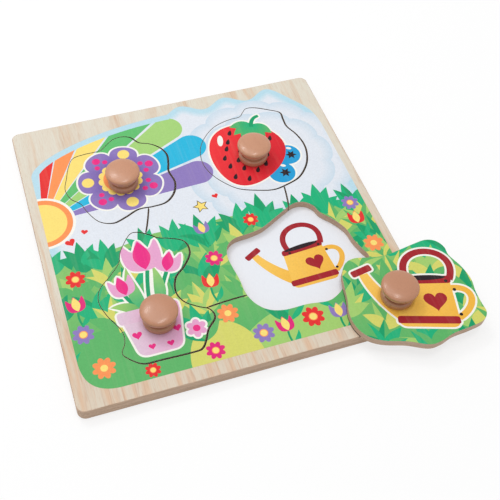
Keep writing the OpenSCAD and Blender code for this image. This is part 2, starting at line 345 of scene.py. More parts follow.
def petal(base, tip, width, count=20):
    """A round-ended petal: its half width grows from the base as a power, and closes at the tip as a root.

    Its points stand closer together near the tip, as the squares of even steps do."""
    base, tip = np.asarray(base, float), np.asarray(tip, float)
    along = tip - base
    t = (1 - np.linspace(1, 0, count) ** 2)[:, None]
    half = 0.58 * width * np.clip(t, 0.01, 1) ** 0.6 * np.sqrt(np.clip(1 - t ** 4, 0, 1))
    return both_sides(base + along * t, half * (left(along) / np.linalg.norm(along)))


def ribbon(points, width, end_width=None):
    """A band along a smooth open line, with a half width that changes evenly, and flat ends."""
    p = np.asarray(points, float)
    t = np.linspace(0, 1, 8 * len(p))
    knots = np.linspace(0, 1, len(p))
    degree = min(len(p) - 1, 3)
    line = np.stack([np.polyval(np.polyfit(knots, p[:, k], degree), t) for k in (0, 1)], 1)
    half = (np.linspace(width, width if end_width is None else end_width, len(t)) / 2)[:, None]
    reach = half * normals(line)
    return np.concatenate([line + reach, (line - reach)[::-1]])


def heart(centre, size, angle=0.0):
    """A heart: the cube of a sine across, and a sum of four cosines up."""
    t = round_the_clock(28)
    across = 16 * np.sin(t) ** 3
    up = 13 * np.cos(t) - 5 * np.cos(2 * t) - 2 * np.cos(3 * t) - np.cos(4 * t)
    return turned(np.stack([across, up], 1) * size / 32, angle) + centre


def star(centre, outer, inner, points, angle=0.0):
    """A star: the radius takes two values by turns round the clock."""
    t = round_the_clock(2 * points) + angle + np.pi / 2
    return polar(t, np.where(np.arange(2 * points) % 2 == 0, outer, inner)) + centre


def scallops(centre, radius, count, depth):
    """A lobed ring: its radius swells by depth times a power of the size of a cosine."""
    t = round_the_clock(12 * count)
    return polar(t, radius * (1 - depth + depth * np.abs(np.cos(count * t / 2)) ** 0.6)) + centre


class Design:
    """Printed shapes in painter's order: closed outlines, each in one ink or fading from one to another."""

    def __init__(self, inks):
        self.inks = inks
        self.shapes = []

    def add(self, outline, colour, fade=None, start=(0, 0), end=(0, 1)):
        """Adds an outline. With fade, the ink goes over to that one between two points."""
        shape = (outline, self.ink(colour), self.ink(fade or colour), start, end)
        self.shapes.append([np.array(part, float) for part in shape])

    def dot(self, centre, radius, colour, count=20):
        """Adds a round spot."""
        self.add(oval(centre, radius, radius, count=count), colour)

    def ink(self, colour):
        """An ink by its name, or two inks mixed: their names and the second one's share."""
        if isinstance(colour, str):
            return tuple(getattr(self.inks, colour))
        first, second, share = colour
        return tuple(a + (b - a) * share for a, b in zip(self.ink(first), self.ink(second)))

    def outlines(self):
        """The outlines of all shapes."""
        return [shape[0] for shape in self.shapes]

    def add_airbrushed(self, outlines, rim, middle):
        """Adds outlines that lie inside each other, in inks that change evenly from the rim to the middle."""
        for share, outline in zip(np.linspace(0, 1, len(outlines)), outlines):
            self.add(outline, (rim, middle, float(share)))

    def with_halo(self, picture, width):
        """Adds another design on top, with a white edge round all of it."""
        for outline in picture.outlines():
            self.add(grown(outline, width), "cream")
        return self.then(picture)

    def then(self, other):
        """Adds another design's shapes on top."""
        self.shapes.extend(other.shapes)
        return self

    def moved(self, centre, share):
        """A copy shrunk about a point."""
        copy = Design(self.inks)
        for outline, first, second, start, end in self.shapes:
            outline, start, end = (centre + (place - centre) * share for place in (outline, start, end))
            copy.shapes.append([outline, first, second, start, end])
        return copy

    def colours(self, shape, point):
        """Colour of each point: its shape's two inks mixed by how far it lies between start and end."""
        first, second, start, end = (np.array(part)[shape] for part in list(zip(*self.shapes))[1:])
        way = end - start
        share = np.sum((point - start) * way, 1) / np.maximum(np.sum(way * way, 1), TINY)
        share = np.clip(share, 0, 1)[:, None]
        return first * (1 - share) + second * share


def inside(line, point):
    """Which points a closed line goes round: it crosses their rays upwards and downwards unequally often."""
    x, y = point[:, :1], point[:, 1:]
    x1, y1 = line.T
    x2, y2 = np.roll(line, -1, 0).T
    side = (x2 - x1) * (y - y1) - (x - x1) * (y2 - y1)
    up = (y1 <= y) & (y2 > y) & (side > 0)
    down = (y1 > y) & (y2 <= y) & (side < 0)
    return up.sum(1) != down.sum(1)


def topmost(lines, point):
    """The last of the lines round each point, or -1. Only points in a line's own box are tried."""
    top = np.full(len(point), -1)
    for k, line in enumerate(lines):
        near = np.flatnonzero(np.all((point > line.min(0)) & (point < line.max(0)), axis=1))
        top[near[inside(line, point[near])]] = k
    return top


def printed_mesh(name, design, area, holes=(), unshaded=None):
    """A flat mesh of the design inside an area and outside the holes, coloured by what was printed last.

    All outlines go into one constrained triangulation, and a triangle's colour is that of the last
    shape round its middle. Past the unshaded outline, if there is one, the ink is near black: painted
    shade of the saw gap beside it."""
    low, high = area.min(0), area.max(0)
    places, shapes = zip(*[(k, line) for k, line in enumerate(design.outlines())
                           if np.all(line.max(0) > low) and np.all(line.min(0) < high)])
    lines = [area, *holes, *shapes] + ([] if unshaded is None else [unshaded])
    ends = np.cumsum([len(line) for line in lines]).tolist()
    rings = [list(range(start, end)) for start, end in zip([0] + ends, ends)]
    points = list(map(Vector, np.concatenate(lines).tolist()))
    edges = [(a, b) for ring in rings for a, b in zip(ring, ring[1:] + ring[:1])]
    flat, _, faces, _, _, _ = delaunay_2d_cdt(points, edges, [], 0, SAME_POINT, False)
    flat, corners = np.array(flat, float), np.array(faces)
    middle = flat[corners].mean(1)
    shape = topmost(shapes, middle)
    keep = (topmost([area, *holes], middle) == 0) & (shape >= 0)
    used, corners = np.unique(corners[keep].ravel(), return_inverse=True)
    colour = design.colours(np.repeat(np.array(places)[shape[keep]], 3), flat[used][corners])
    if unshaded is not None:
        colour[np.repeat(~inside(unshaded, middle[keep]), 3)] = design.ink("gap_shade")
    mesh = bpy.data.meshes.new(name)
    mesh.from_pydata(np.pad(flat[used] * MM, ((0, 0), (0, 1))), [], corners.reshape(-1, 3).tolist())
    layer = mesh.color_attributes.new("ink", "FLOAT_COLOR", "CORNER")
    layer.data.foreach_set("color", np.pad(colour, ((0, 0), (0, 1)), constant_values=1).ravel())
    mesh.validate()
    return mesh


# Reading the frame

def face_outlines(node, level):
    """Closed outlines of a node's flat face at a level, in millimetres, the longest way round first.

    They are the triangle sides at that level that no second triangle there runs back along."""
    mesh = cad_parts[node].data
    place = np.empty(3 * len(mesh.vertices), np.float32)
    mesh.vertices.foreach_get("co", place)
    place, same = np.unique(place.reshape(-1, 3).astype(float).round(7), axis=0, return_inverse=True)
    corner = np.empty(len(mesh.loops), int)
    mesh.loops.foreach_get("vertex_index", corner)
    triangle = same.ravel()[corner].reshape(-1, 3)
    triangle = triangle[np.all(np.abs(place[triangle][:, :, 2] - level) < 0.01 * MM, axis=1)]
    side = np.concatenate([triangle[:, [0, 1]], triangle[:, [1, 2]], triangle[:, [2, 0]]])
    key, back = side @ [len(place), 1], side @ [1, len(place)]
    side = side[~np.isin(key, back)]
    after = dict(side.tolist())
    outlines = []
    while after:
        ring = [next(iter(after))]
        while ring[-1] in after:
            ring.append(after.pop(ring[-1]))
        outlines.append(place[ring[:-1], :2] / MM)
    return sorted(outlines, key=lambda line: -abs(signed_area(line)))


def seat_outline(piece, settings):
    """Outline of a piece's face at its seat, in millimetres. The loose piece's is carried back there."""
    node = piece + "_piece"
    line = face_outlines(node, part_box(node)[1].z)[0]
    if piece == LOOSE:
        return turned(line - knob_centre(piece), -settings.loose_turn) + np.array(settings.can_seat) / MM
    return line


def linking_cuts(hole, seats):
    """Outlines of the saw cuts that link the openings, from the outline of the hole that they form together.

    The hole's outline runs along a cut on one side and comes back on the other, both clear of all pieces."""
    near = np.any([inside(grown(line, CUT_CLEARANCE), hole) for line in seats], axis=0)
    first = np.argmax(near)
    hole, away = np.roll(hole, -first, 0), np.flatnonzero(~np.roll(near, -first))
    sides = [hole[run] for run in np.split(away, np.flatnonzero(np.diff(away) > 1) + 1)]
    cuts = []
    while len(sides) > 1:
        there = sides.pop(0)
        back = sides.pop(int(np.argmin([np.linalg.norm(there[-1] - side[0]) for side in sides])))
        cuts.append(np.concatenate([there, back]))
    return cuts


def knob_centre(piece):
    """Place of a piece's knob, in millimetres."""
    low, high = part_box(piece + "_knob")
    return np.array((low + high) / 2)[:2] / MM


# Knobs: a profile of radius and height, carried round the knob's axis

def bead(inner, outer, side, end, power, steps=22):
    """A squared-off quarter: out by the cosine and along by the sine, each to the power 2 / power."""
    turn = np.linspace(0, np.pi / 2, steps)
    return np.stack([inner + (outer - inner) * np.cos(turn) ** (2 / power),
                     side + (end - side) * np.sin(turn) ** (2 / power)], 1)


def hollow(edge, inner, start, middle, power=2.3, steps=22):
    """A hollow quarter: in by the sine and along by what the cosine leaves, each to the power 2 / power."""
    turn = np.linspace(0, np.pi / 2, steps)
    return np.stack([edge - (edge - inner) * np.sin(turn) ** (2 / power),
                     middle - (middle - start) * np.cos(turn) ** (2 / power)], 1)


def knob_profile(knob):
    """Radius and height from the foot's rim up: a foot, a hollow groove and a pillowed cap."""
    foot, cap, neck = knob.foot / 2, knob.cap / 2, knob.neck / 2
    cap_level = knob.foot_height + knob.neck_height
    side, middle = (cap_level + knob.height) / 2, knob.foot_height + knob.neck_height / 2
    under = foot * knob.under_share
    return np.concatenate([
        bead(foot - knob.low_roll, foot, knob.low_roll, 0, 2)[::-1],
        bead(foot - knob.high_roll, foot, knob.foot_height - knob.high_roll, knob.foot_height, 2),
        hollow(foot - knob.high_roll, neck, knob.foot_height, middle)[1:],
        hollow(under, neck, cap_level, middle)[-2::-1],
        bead(under, cap, side, cap_level, 2.5)[-2::-1],
        bead(0, cap, side, knob.height, 2.5)[1:-1]])


def lathe(name, profile, foot, sides):
    """A solid of revolution: each point of the profile goes round a full turn, and both ends get a middle."""
    rows = len(profile)
    level = np.broadcast_to(profile[:, None, 1:], (rows, sides, 1))
    place = np.concatenate([profile[:, None, :1] * polar(round_the_clock(sides)), level], 2).reshape(-1, 3)
    place = np.concatenate([place, [(0, 0, profile[0, 1]), (0, 0, profile[-1, 1])]]) + foot
    row, column = np.meshgrid(np.arange(rows - 1), np.arange(sides), indexing="ij")
    first, after = row * sides + column, row * sides + (column + 1) % sides
    walls = np.stack([first, after, after + sides, first + sides], -1).reshape(-1, 4)
    around, beside = np.arange(sides), (np.arange(sides) + 1) % sides
    last, middle = (rows - 1) * sides, np.full(sides, rows * sides)
    bottom = np.stack([beside, around, middle], 1)
    lid = np.stack([last + around, last + beside, middle + 1], 1)
    mesh = bpy.data.meshes.new(name)
    mesh.from_pydata(place, [], walls.tolist() + bottom.tolist() + lid.tolist())
    mesh.polygons.foreach_set("use_smooth", np.ones(len(mesh.polygons), bool))
    mesh.validate()
    return mesh


# Materials

def wire(tree, kind, links=None, **settings):
    """Adds a node, sets its settings, and joins its inputs to sockets or gives them values."""
    node = tree.nodes.new(kind)
    for name, value in settings.items():
        setattr(node, name, value)
    for name, value in (links or {}).items():
        socket = node.inputs[name]
        if isinstance(value, NodeSocket):
            tree.links.new(value, socket)
        else:
            socket.default_value = value
    return node


def mixed(tree, share, first, second, blend="MIX"):
    """Two colours mixed by a share. Each is a socket or a colour."""
    first, second = (c if isinstance(c, NodeSocket) else (*c, 1)[:4] for c in (first, second))
    return wire(tree, "ShaderNodeMix", {0: share, 6: first, 7: second}, data_type="RGBA",
                blend_type=blend).outputs[2]


def ranged(tree, value, low, high, to_low=0.0, to_high=1.0):
    """A value stretched from one range to another, and held inside it."""
    return wire(tree, "ShaderNodeMapRange", {"Value": value, "From Min": low, "From Max": high,
                                             "To Min": to_low, "To Max": to_high}).outputs[0]


def tinted(tree, colour, tint, pattern, low, high, most=1.0):
    """A colour that goes over to a tint, up to that share, where a pattern rises from low to high."""
    return mixed(tree, ranged(tree, pattern, low, high, 0.0, most), colour, tint)


def worked(tree, operation, *values):
    """What an operation makes of its values."""
    return wire(tree, "ShaderNodeMath", dict(enumerate(values)), operation=operation).outputs[0]


def noise(tree, place, size, detail=3.0, roughness=0.55, distortion=0.0):
    """Soft noise whose features are size wide, in millimetres, along X, Y and Z."""
    scaled = wire(tree, "ShaderNodeMapping", {"Vector": place, "Scale": [1 / (wide * MM) for wide in size]})
    return wire(tree, "ShaderNodeTexNoise", {"Vector": scaled.outputs[0], "Scale": 1.0, "Detail": detail,
                                             "Roughness": roughness, "Distortion": distortion}).outputs[0]


def shut_in(tree, reach, black, clear):
    """One where the air within reach, in millimetres, is open to less than black, and nought past clear."""
    air = wire(tree, "ShaderNodeAmbientOcclusion", {"Distance": reach * MM}, samples=8).outputs["AO"]
    return ranged(tree, air, black, clear, 1.0, 0.0)


def finish(name, roughness, coat=0.0, coat_roughness=0.2, metallic=0.0, specular=0.5):
    """A new material, its tree, its shader and the object's own coordinates."""
    material = bpy.data.materials.new(name)
    material.use_nodes = True
    tree = material.node_tree
    shader = tree.nodes["Principled BSDF"]
    for socket, value in (("Roughness", roughness), ("Metallic", metallic), ("Coat Weight", coat),
                          ("Coat Roughness", coat_roughness), ("Specular IOR Level", specular)):
        shader.inputs[socket].default_value = value
    return material, tree, shader, wire(tree, "ShaderNodeTexCoord").outputs


def surface(tree, shader, colour, grain, height, strength):
    """Gives the shader a colour, and bumps it by a grain that is height high, in millimetres."""
    bump = wire(tree, "ShaderNodeBump", {"Height": grain, "Distance": height * MM, "Strength": strength})
    tree.links.new(colour, shader.inputs["Base Color"])
    tree.links.new(bump.outputs[0], shader.inputs["Normal"])


def board_finish(woods, name, depth=0.0):
    """Pale sanded plywood: wavy streaks along Y, stronger towards the front, and brown sawn edges.

    Down to a depth below the board's top, a wall is black where a narrow saw cut lets no light in."""
    material, tree, shader, at = finish(name, 0.62, specular=0.2)
    width, reach = woods.grain_width / MM, woods.grain_length / MM
    place = wire(tree, "ShaderNodeSeparateXYZ", {"Vector": at["Object"]}).outputs
    far = ranged(tree, place["Y"], BOARD_LOW.y, BOARD_HIGH.y, -0.11, 0.07)
    cloud = worked(tree, "ADD", noise(tree, at["Object"], (16, 200, 16), 2.0, 0.5, 0.5), far)
    broad = noise(tree, at["Object"], (width, reach / 2, width), 2.5, 0.55, 0.7)
    line = noise(tree, at["Object"], (width / 2.4, reach / 3.5, width / 2.4), 3.0, 0.6, 1.1)
    dash = noise(tree, at["Object"], (width / 9, reach / 16, width / 9), 2.5, 0.6, 0.4)
    face = tinted(tree, woods.face, woods.face_grey, cloud, 0.42, 0.58)
    warm = ranged(tree, cloud, 0.42, 0.6, 0.85, 0.12)
    for pattern, low, high, most, tint in ((broad, 0.44, 0.64, 1.0, woods.streak),
                                           (line, 0.51, 0.66, 0.5, woods.streak_deep)):
        share = worked(tree, "MULTIPLY", ranged(tree, pattern, low, high, 0.0, most), warm)
        face = mixed(tree, share, face, tint)
    face = tinted(tree, face, woods.streak_deep, dash, 0.5, 0.7, 0.28)
    layers = noise(tree, at["Object"], (20, 20, 1.6), 3.0, 0.6)
    flecks = noise(tree, at["Object"], (1.2, 1.2, 3), 2.0)
    sawn = tinted(tree, woods.edge, woods.edge_dark, layers, 0.40, 0.66, 0.6)
    sawn = tinted(tree, sawn, woods.edge_pale, flecks, 0.5, 0.72, 0.3)
    if depth > 0:
        near_top = ranged(tree, place["Z"], TOP - depth, TOP - depth + 1 * MM)
        dark = worked(tree, "MULTIPLY", shut_in(tree, WALL_REACH, 0.86, 0.98), near_top)
        sawn = mixed(tree, dark, sawn, woods.cut_shade)
    up = wire(tree, "ShaderNodeSeparateXYZ", {"Vector": at["Normal"]}).outputs["Z"]
    colour = tinted(tree, sawn, face, worked(tree, "ABSOLUTE", up), 0.93, 0.99)
    surface(tree, shader, colour, dash, 0.08, 0.6)
    return material


def ink_finish(inks):
    """Satin printing ink in its own colours, a little uneven, with the grain just showing through."""
    material, tree, shader, at = finish("puzzle_ink", 0.48, specular=0.14)
    colour = wire(tree, "ShaderNodeAttribute", attribute_name="ink").outputs["Color"]
    grain = noise(tree, at["Object"], (3.5, 80, 3.5), 3.0)
    mottle = noise(tree, at["Object"], (1.4, 1.4, 1.4), 2.0)
    shade = ranged(tree, mottle, 0.3, 0.7, 0.92, 1.0)
    shaded = wire(tree, "ShaderNodeCombineColor", {"Red": shade, "Green": shade, "Blue": shade}).outputs[0]
    colour = mixed(tree, 1.0, colour, shaded, "MULTIPLY")
    surface(tree, shader, tinted(tree, colour, inks.wood, grain, 0.5, 0.8, 0.06), grain, 0.05, 0.5)
    return material


def knob_finish(woods):
    """Turned beech under satin lacquer, with faint bands, short dark flecks and painted shade towards the
    front.
    """
    material, tree, shader, at = finish("puzzle_knob_wood", 0.42, coat=0.55, coat_roughness=0.21,
                                        specular=0.3)
    place = wire(tree, "ShaderNodeSeparateXYZ", {"Vector": at["Object"]}).outputs
    bands = noise(tree, at["Object"], (8, 30, 20), 3.0, 0.5, 0.6)
    flecks = noise(tree, at["Object"], (0.6, 2.2, 1.6), 2.0, 0.6)
    # Painted shade: the knobs are darker the nearer they stand to the front of the board
    front = ranged(tree, place["Y"], -120 * MM, 70 * MM, 0.75, 0.1)
    colour = mixed(tree, front, woods.knob, woods.knob_dark)
    colour = tinted(tree, colour, woods.knob_dark, bands, 0.42, 0.7, 0.28)
    colour = tinted(tree, colour, woods.knob_fleck, flecks, 0.54, 0.74, 0.3)
    surface(tree, shader, colour, flecks, 0.03, 0.5)
    return material


def paper_finish(woods):
    """Satin white paper with faint fibres, black at the bottom of a saw cut, where no light comes."""
    material, tree, shader, at = finish("puzzle_paper", 0.55)
    fibres = noise(tree, at["Object"], (0.9, 3, 3), 3.0)
    colour = tinted(tree, woods.paper, woods.fibre, fibres, 0.4, 0.7, 0.35)
    colour = mixed(tree, shut_in(tree, PAPER_REACH, 0.16, 0.3), colour, woods.cut_shade)
    surface(tree, shader, colour, fibres, 0.02, 0.4)
    return material


def steel_finish(woods):
    """Zinc-plated steel with turning marks and slightly uneven gloss."""
    material, tree, shader, at = finish("puzzle_screw_steel", 0.32, metallic=1.0)
    marks = noise(tree, at["Object"], (0.4, 0.4, 0.2), 2.0)
    colour = tinted(tree, woods.steel, woods.steel_dark, marks, 0.35, 0.7)
    tree.links.new(colour, shader.inputs["Base Color"])
    tree.links.new(ranged(tree, marks, 0.3, 0.7, 0.24, 0.42), shader.inputs["Roughness"])
    return material


def dress(node, material):
    """Gives a CAD node its finish."""
    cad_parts[node].material_slots[0].material = material


def soften(node, width):
    """Rounds a CAD node's sharp edges a little, as sanding does."""
    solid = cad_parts[node]
    weld = solid.modifiers.new("weld", "WELD")
    weld.merge_threshold = 0.001 * MM
    bevel = solid.modifiers.new("sanded", "BEVEL")
    bevel.width = width
    bevel.segments = 2
    bevel.limit_method = "ANGLE"
    bevel.angle_limit = math.radians(50)
    bevel.harden_normals = True


def into_scene(data):
    """A new object in the scene for a mesh, a light or a camera, under its name."""
    made = bpy.data.objects.new(data.name, data)
    bpy.context.scene.collection.objects.link(made)
    return made


# The printed scene

def printed_area():
    """Edge of the print on the board, in millimetres: round corners at the foot, then a round far corner,
    lobes and an arch. The corner is an ellipse, the lobes are a cosine and the arch is the root of one."""
    foot = rounded([(PRINT_LEFT, 30, 0.1), (PRINT_LEFT, PRINT_FOOT, 30), (PRINT_RIGHT, PRINT_FOOT, 30),
                    (PRINT_RIGHT, 30, 0.1)], 14)
    turn = np.linspace(np.pi / 2, 0, 24)
    x = np.concatenate([104 + 38 * np.sin(turn), np.linspace(103, 0, 70)])
    drop = 62 * (1 - np.concatenate([np.cos(turn), np.ones(70)]))
    crown = 138 + 5 * np.cos(2 * np.pi * (x - 15) / 45) - drop
    arch_x = PRINT_LEFT * np.sin(np.linspace(0, np.pi / 2, ARCH_POINTS))
    arch = 90 + 45.5 * np.sqrt(np.maximum(np.cos(arch_x / PRINT_LEFT * np.pi / 2), 0))
    top = np.concatenate([np.stack([x, crown], 1), np.stack([arch_x, arch], 1)[1:]])
    return np.concatenate([foot, top])


def sky(design, area):
    """A pale sky with a blue rim that fades inwards, and soft scalloped ripples round the strawberry."""
    design.add(area, "sky")
    design.add_airbrushed([grown(area, -reach) for reach in np.linspace(4, 11, 9)], "sky", "haze")
    for radius, count in ((80, 13), (64, 11)):
        rings = [scallops((75, 52), radius - reach, count, 0.07) for reach in np.linspace(0, 11, 8)]
        design.add_airbrushed(rings, "ripple", "haze")


def sunburst(design, area):
    """Seven coloured rays fanning from a half sun at the left edge, below a blue band that follows the arch.

    A ray is a wedge with a half circle on its end."""
    centre = np.array([PRINT_LEFT, 36.0])
    rays = (("violet", 150), ("blue", 160), ("lime", 158), ("green", 158), ("yellow", 138), ("orange", 122),
            ("red", 104))
    lowest, step, half_ray = np.radians([7.5, 11.6, 5.3])
    t = np.linspace(-np.pi / 2, np.pi / 2, 22)[:, None]
    for k, (colour, reach) in enumerate(rays):
        way = polar(lowest + step * k)
        half = reach * math.tan(half_ray)
        cap = centre + way * reach + half * (np.cos(t) * way + np.sin(t) * left(way))
        design.add(np.concatenate([[centre], cap]), colour)
    arch, lower = area[-ARCH_POINTS:], grown(area, -6.5)[-ARCH_POINTS:]
    design.add(np.concatenate([arch, [(PRINT_LEFT, 84)], lower[::-1]]), "sky")
    for radius, colour in ((29, "cream"), (26.5, "orange"), (21.5, "yellow")):
        design.dot(centre, radius, colour, 48)


def clump(design, root, size, lean, greens, rng):
    """A clump of five pointed leaves. The outer ones are shorter and bend outwards. Some are half shaded."""
    for spread in (0.0, -0.42, 0.46, -0.86, 0.84):
        angle = spread + lean + rng.uniform(-0.09, 0.09)
        reach = size * (1 - 0.3 * abs(spread)) * rng.uniform(0.92, 1.08)
        tip = root + polar(np.pi / 2 - angle, reach)
        full, shaded = rng.permutation(len(greens))[:2]
        outline = leaf(root, tip, 0.3 * size, 0.2 * spread, 0.85)
        design.add(outline, greens[full])
        if rng.uniform() < 0.3:
            side = len(outline) // 2 + 1
            line, _ = middle_line(root, tip, 0.2 * spread, side)
            design.add(np.concatenate([outline[:side], line[-2:0:-1]]), greens[shaded])


def meadow(design, settings):
    """Soft hills and rows of leaf clumps, from the horizon to the foot of the print."""
    rng = np.random.default_rng(settings.seed)
    x = np.linspace(-150, 150, 61)
    ground = np.stack([x, -9 + 6 * np.cos((x + 24) / 60) + 2 * np.sin(x / 11)], 1)
    design.add(np.concatenate([ground, [(150, -150), (-150, -150)]]), ("leaf_light", "leaf_mid", 0.5),
               "leaf_mid", (0, -20), (0, -110))
    for x, y, wide, high, colour in ((-112, -128, 60, 44, "leaf_mid"), (44, -148, 66, 44, "leaf_light"),
                                     (-26, -142, 30, 40, "leaf_pale"), (126, -126, 46, 48, "leaf_mid")):
        design.add(oval((x, y), wide, high, 0.1, 48), colour)
    rows = ((-27, 37, ("leaf_dark", "leaf_dark", "leaf_deep")),
            (-49, 36, ("leaf_light", "leaf_pale", "leaf_mid")),
            (-70, 38, ("leaf_dark", "leaf_deep", "leaf_mid")),
            (-93, 36, ("leaf_light", "leaf_mid", "leaf_pale")),
            (-116, 34, ("leaf_dark", "leaf_deep", "leaf_mid")))
    for row, (level, size, greens) in enumerate(rows):
        for place in np.arange(-148 + 15 * (row % 2), 158, 28.0 + 2 * row):
            root = np.array([place, level]) + rng.uniform(-5, 5, 2)
            lean = rng.uniform(-0.2, 0.2)
            if row < 3 or rng.uniform() < 0.75:
                clump(design, root, size * rng.uniform(0.9, 1.1), lean, greens, rng)


def daisy(design, centre, size, colour):
    """A daisy of eight round petals and a yellow eye with an orange edge."""
    for angle in round_the_clock(8) + 0.2:
        design.add(oval(centre + polar(angle, 0.62 * size), 0.4 * size, 0.27 * size, angle, 16), colour)
    design.dot(centre, 0.4 * size, "orange")
    design.dot(centre, 0.32 * size, "yellow")


def tulip(design, foot, size, colour, shade, lean=0.0):
    """A tulip head on its foot point: a cup with three points, and a darker middle petal."""
    cup = smooth([(0, 0), (0.42, 0.12), (0.56, 0.5), (0.5, 1.02), (0.24, 0.72), (0, 1.1), (-0.24, 0.72),
                  (-0.5, 1.02), (-0.56, 0.5), (-0.42, 0.12)], 4)
    design.add(turned(cup * size, lean) + foot, colour)
    design.add(turned(leaf((0, 0.04 * size), (0, 1.06 * size), 0.5 * size, 0, 0.9), lean) + foot, shade)


def small_flowers(design):
    """Daisies and tulips scattered over the meadow, and small signs in the sky."""
    for x, y, size, colour in ((-126, -30, 8.5, "red"), (-131, -84, 9, "violet"), (-122, -118, 9.5, "orange"),
                               (-8, -42, 8, "magenta"), (-14, -98, 9, "orange"), (8, -124, 9, "violet"),
                               (52, -121, 9.5, "red"), (129, -18, 8, "violet"), (36, -11, 7, "red"),
                               (131, -66, 9, "orange"), (-34, -128, 8, "magenta"),
                               (-86, -130.5, 6.4, "red")):
        daisy(design, (x, y), size, colour)
    for x, y, size, colour, lean in ((-130, -62, 14, "magenta", 0.12), (-19, -70, 13, "red", -0.15),
                                     (-8, -14, 12, "violet", 0.1), (28, -128, 13, "magenta", 0.08),
                                     (127, -42, 13, "red", -0.1), (74, -128, 13, "violet", -0.05)):
        stem = np.array([(x, y + 2), (x - 1, y - 6), (x + 1, y - 15)])
        design.add(ribbon(stem, 1.8), "leaf_deep")
        design.add(leaf((x, y - 14), (x + 8, y - 1), 4.5, -0.2), "leaf_dark")
        tulip(design, (x, y), size, colour, "yellow", lean)
    for x, y, size, angle in ((-122, 9, 9, 0.3), (-108, 17, 6, -0.3), (14, 24, 6, 0.2)):
        design.add(heart((x, y), size, angle), "red")
    for grow, colour in ((0.8, "seed"), (0, "yellow")):
        design.add(star((-2, 16), 6.4 + 1.6 * grow, 2.9 + grow, 5, 0.2), colour)


# The four pictures, each at its seat

def flower_picture(inks):
    """A purple flower of seven petals with pink spots and a yellow heart."""
    picture = Design(inks)
    centre = np.array([-63.0, 68.0])
    ways = polar(round_the_clock(7) + 0.35)
    for way in ways:
        picture.add(petal(centre + way * 4, centre + way * 39, 32), "petal_deep", "petal",
                    centre + way * 14, centre + way * 31)
    for k, way in enumerate(ways):
        if k % 2:
            picture.dot(centre + way * 30, 5.6, "yellow", 36)
        else:
            for out, off, size in ((31.5, 0, 3.8), (25, 5, 2.5), (25, -5, 2.5)):
                picture.dot(centre + way * out + left(way) * off, size, "spot", 30)
    picture.add(scallops(centre, 20.5, 14, 0.12), "yellow")
    picture.dot(centre, 15.8, "orange", 40)
    return picture


def strawberry_picture(inks):
    """A red strawberry with dark seeds and a leafy crown, beside two blueberries.

    Its body is an ellipse that widens evenly from the tip to the crown."""
    picture = Design(inks)
    tip, crown = np.array([41.0, 29.0]), np.array([75.0, 99.0])
    reach = float(np.linalg.norm(crown - tip))
    along = (crown - tip) / reach
    side = -left(along)

    def wide(out):
        """Half the berry's width before its ends are rounded."""
        return 39 * (0.70 + 0.42 * out / reach)

    t = round_the_clock(72)
    run = reach * (0.5 - 0.5 * np.cos(t))
    body = tip + run[:, None] * along + (np.sin(t) * wide(run))[:, None] * side
    for x, y, size in ((95.5, 53, 12.0), (82.5, 33.5, 12.5)):
        picture.dot((x, y), size, "blueberry", 40)
        picture.add(star((x + 3, y - 1), 0.46 * size, 0.22 * size, 6, 0.3), "seed")
        picture.add(oval((x + 0.3 * size, y + 0.62 * size), 0.22 * size, 0.12 * size, -0.5, 20), "cream")
    picture.add(body, "berry", "berry_deep", tip + along * 40 - side * 34, tip + along * 30 + side * 36)
    seed_gap = 13
    for row, out in enumerate(np.arange(10, reach - 6, 10.5)):
        span = math.sqrt(max(0.0, 1 - (2 * out / reach - 1) ** 2)) * wide(out) - 5
        count = max(1, int(2 * span // seed_gap))
        for off in (np.arange(count) - (count - 1) / 2) * seed_gap:
            spot = tip + along * (out + 1.5 * (row % 2)) + side * off
            picture.add(petal(spot + along * 3.6, spot - along * 3.6, 4.6, 9), "seed")
    for spread in (-1.25, 1.25, -0.75, 0.75, -0.25, 0.3):
        point = crown - turned(along, spread) * 22
        picture.add(leaf(crown + along, point, 10, 0.12 * np.sign(spread), 0.85), "leaf_dark", "leaf_mid",
                    crown, point)
    stalk = [crown - along * 2, crown + along * 8, crown + along * 14 + side * 5]
    picture.add(ribbon(stalk, 4.2, 3.4), "leaf_deep")
    picture.add(oval(tip + along * 52 - side * 27, 2.8, 7.0, -0.25, 24), "cream")
    return picture


def flowerpot_picture(inks):
    """A pale pink flowerpot with a rim and hearts, and three tulips in it, beside a small daisy."""
    picture = Design(inks)
    for foot, head in (((-73, -76), (-66, -38)), ((-80, -76), (-91, -56)), ((-66, -76), (-51, -44))):
        middle = ((foot[0] + head[0]) / 2 - 1, (foot[1] + head[1]) / 2)
        picture.add(ribbon([foot, middle, head], 3.4), "leaf_deep")
    for base, tip, width, bend, shade in (((-80, -78), (-105, -66), 9, -0.22, "leaf_mid"),
                                          ((-66, -78), (-61, -34), 10, -0.14, "leaf_dark"),
                                          ((-76, -78), (-83, -30), 11, 0.14, "leaf_dark")):
        picture.add(leaf(base, tip, width, bend), shade, "leaf_light", base, tip)
    for foot, size, lean in (((-67, -38), 30, 0.0), ((-89, -58), 19, 0.16), ((-51, -44), 20, -0.38)):
        tulip(picture, foot, size, "pot_deep", "tulip", lean)
    pot = rounded([(-99, -80, 2), (-50, -80, 2), (-57, -117, 7), (-92, -117, 7)], 8)
    picture.add(pot, "pot", "pot_deep", (-92, -96), (-48, -104))
    rim = rounded([(-102, -73, 4), (-50, -73, 4), (-50.5, -85, 4), (-101.5, -85, 4)], 8)
    picture.add(rim, "pot_deep", "pot", (-50, -78), (-102, -78))
    for x, y, size in ((-90, -97, 8), (-57.5, -99, 7), (-81, -110, 6), (-66, -111, 6)):
        picture.add(heart((x, y), size), "tulip")
    eye = np.array([-42.5, -104])
    for angle in round_the_clock(6) + 0.4:
        picture.add(oval(eye + polar(angle, 5), 3.6, 2.9, angle, 18), "pot_deep")
    picture.dot(eye, 3.1, "tulip")
    return picture


